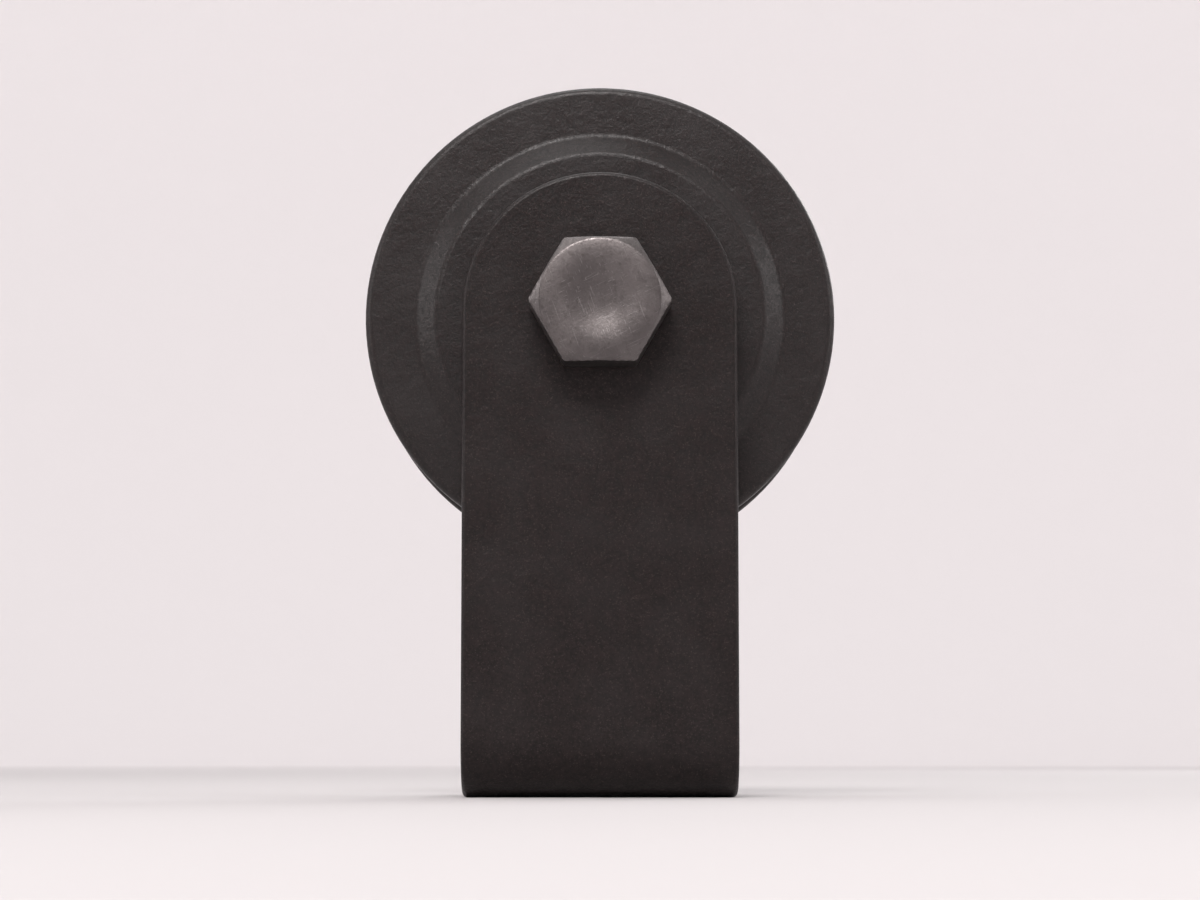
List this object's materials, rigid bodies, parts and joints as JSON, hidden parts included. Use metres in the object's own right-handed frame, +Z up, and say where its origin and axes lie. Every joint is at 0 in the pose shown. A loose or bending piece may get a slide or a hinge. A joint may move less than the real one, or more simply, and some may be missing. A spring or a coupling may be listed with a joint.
{
  "type": "sliding door roller",
  "caption": "Top-mount hanger for a flat-rail sliding door: a double-flanged wheel on ball bearings, bolted to a bent strap whose foot screws to the door's top edge.",
  "frame": {"origin": "middle of the foot's underside, where it stands on the door's top edge, straight below the middle of the wheel", "axes": "+X along the rail, +Y towards the wall behind the door (the strap and bolt head are on -Y), +Z up"},
  "size_m": [0.07, 0.0525, 0.106],
  "materials": {
    "dark_coating": "fine satin powder coating, very dark brown",
    "bolt_steel": "grey steel, satin",
    "zinc_steel": "zinc plated, satin",
    "bearing_steel": "ground and polished steel",
    "spring_steel": "black phosphated",
    "white_nylon": "natural nylon",
    "cage_nylon": "glass-filled nylon"
  },
  "bodies": {
    "hanger": {"strap": "dark_coating", "axle_bolt": "bolt_steel", "front_spacer": "zinc_steel", "front_inner_race": "bearing_steel", "bearing_spacer": "zinc_steel", "rear_inner_race": "bearing_steel", "rear_spacer": "zinc_steel", "flat_washer": "zinc_steel", "lock_nut": "zinc_steel", "nut_insert": "white_nylon"},
    "wheel": {"wheel": "dark_coating", "front_outer_race": "bearing_steel", "rear_outer_race": "bearing_steel", "front_outer_shield": "bearing_steel", "front_inner_shield": "bearing_steel", "rear_inner_shield": "bearing_steel", "rear_outer_shield": "bearing_steel", "front_snap_ring": "spring_steel", "rear_snap_ring": "spring_steel"},
    "front_ball_set": {"front_cage": "cage_nylon", "front_balls": "bearing_steel"},
    "rear_ball_set": {"rear_cage": "cage_nylon", "rear_balls": "bearing_steel"}
  },
  "joints": [
    {"name": "wheel_spin", "type": "hinge", "parent": "hanger", "child": "wheel", "pos_m": [0, 0, 0.071], "axis": [0, 1, 0], "continuous": true},
    {"name": "front_cage_spin", "type": "hinge", "parent": "hanger", "child": "front_ball_set", "pos_m": [0, 0, 0.071], "axis": [0, 1, 0], "continuous": true},
    {"name": "rear_cage_spin", "type": "hinge", "parent": "hanger", "child": "rear_ball_set", "pos_m": [0, 0, 0.071], "axis": [0, 1, 0], "continuous": true}
  ],
  "couplings": [
    {"joint": "front_cage_spin", "follows": "wheel_spin", "ratio": 0.619},
    {"joint": "rear_cage_spin", "follows": "wheel_spin", "ratio": 0.619}
  ]
}
